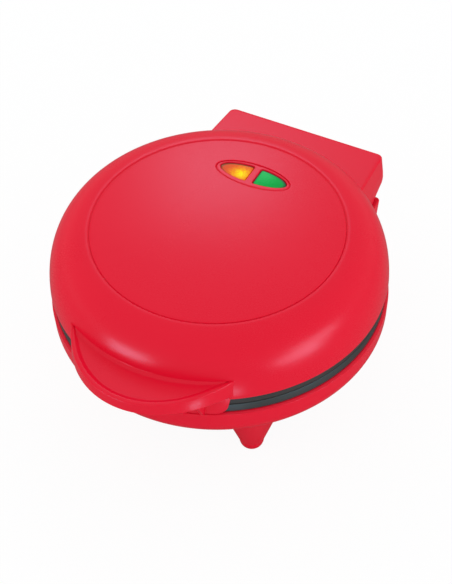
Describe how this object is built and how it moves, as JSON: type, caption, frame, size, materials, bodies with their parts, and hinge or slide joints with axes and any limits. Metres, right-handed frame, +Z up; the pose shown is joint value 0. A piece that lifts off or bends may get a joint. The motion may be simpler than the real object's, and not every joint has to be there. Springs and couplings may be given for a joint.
{
  "type": "omelette maker",
  "caption": "Round countertop omelette maker: a domed lid with crescent handle hinged over a bowl-shaped base on short feet, with half-moon cooking pockets inside.",
  "frame": {"origin": "On the surface the appliance stands on, under the middle of its overall box.", "axes": "+Z up, +X to the user's right when facing the handle, +Y from the handle at the front to the hinge at the back."},
  "size_m": [0.196, 0.2405, 0.11],
  "materials": {
    "red_plastic": "satin gloss moulded",
    "amber_lens": "moulded tinted lens",
    "green_lens": "moulded tinted lens",
    "lamp_glass": "clear",
    "heat_resistant_white": "matte",
    "screw_steel": "zinc plated",
    "coated_aluminium": "dark non-stick coating on die-cast aluminium",
    "element_sheath": "heat tinted sheath",
    "sheet_aluminium": "mill finish",
    "foot_rubber": "matte",
    "black_plastic": "matte"
  },
  "bodies": {
    "base": {"base_housing": "red_plastic", "lower_cooking_plate": "coated_aluminium", "lower_heating_element": "element_sheath", "lower_heat_shield": "sheet_aluminium", "lower_plate_screw_front_left": "screw_steel", "lower_plate_screw_front_right": "screw_steel", "lower_plate_screw_rear_left": "screw_steel", "lower_plate_screw_rear_right": "screw_steel", "thermal_fuse": "heat_resistant_white", "fuse_clip": "screw_steel", "fuse_clip_screw": "screw_steel", "foot_pad_front_left": "foot_rubber", "foot_pad_front_right": "foot_rubber", "foot_pad_rear_left": "foot_rubber", "foot_pad_rear_right": "foot_rubber", "cord_gland": "black_plastic", "terminal_block": "heat_resistant_white", "terminal_block_screw": "screw_steel", "hinge_pin_left": "screw_steel", "hinge_pin_right": "screw_steel"},
    "lid": {"lid_housing": "red_plastic", "lid_top_disc": "red_plastic", "indicator_bezel": "red_plastic", "power_lens": "amber_lens", "ready_lens": "green_lens", "lamp_tray": "heat_resistant_white", "power_lamp": "lamp_glass", "ready_lamp": "lamp_glass", "lamp_tray_screw_left": "screw_steel", "lamp_tray_screw_right": "screw_steel", "upper_cooking_plate": "coated_aluminium", "upper_heating_element": "element_sheath", "upper_heat_shield": "sheet_aluminium", "thermostat": "heat_resistant_white", "upper_plate_screw_front_left": "screw_steel", "upper_plate_screw_front_right": "screw_steel", "upper_plate_screw_rear_left": "screw_steel", "upper_plate_screw_rear_right": "screw_steel"}
  },
  "joints": [
    {"name": "lid_hinge", "type": "hinge", "parent": "base", "child": "lid", "pos_m": [0, 0.11, 0.064], "axis": [-1, 0, 0], "range_deg": [0, 100]}
  ]
}
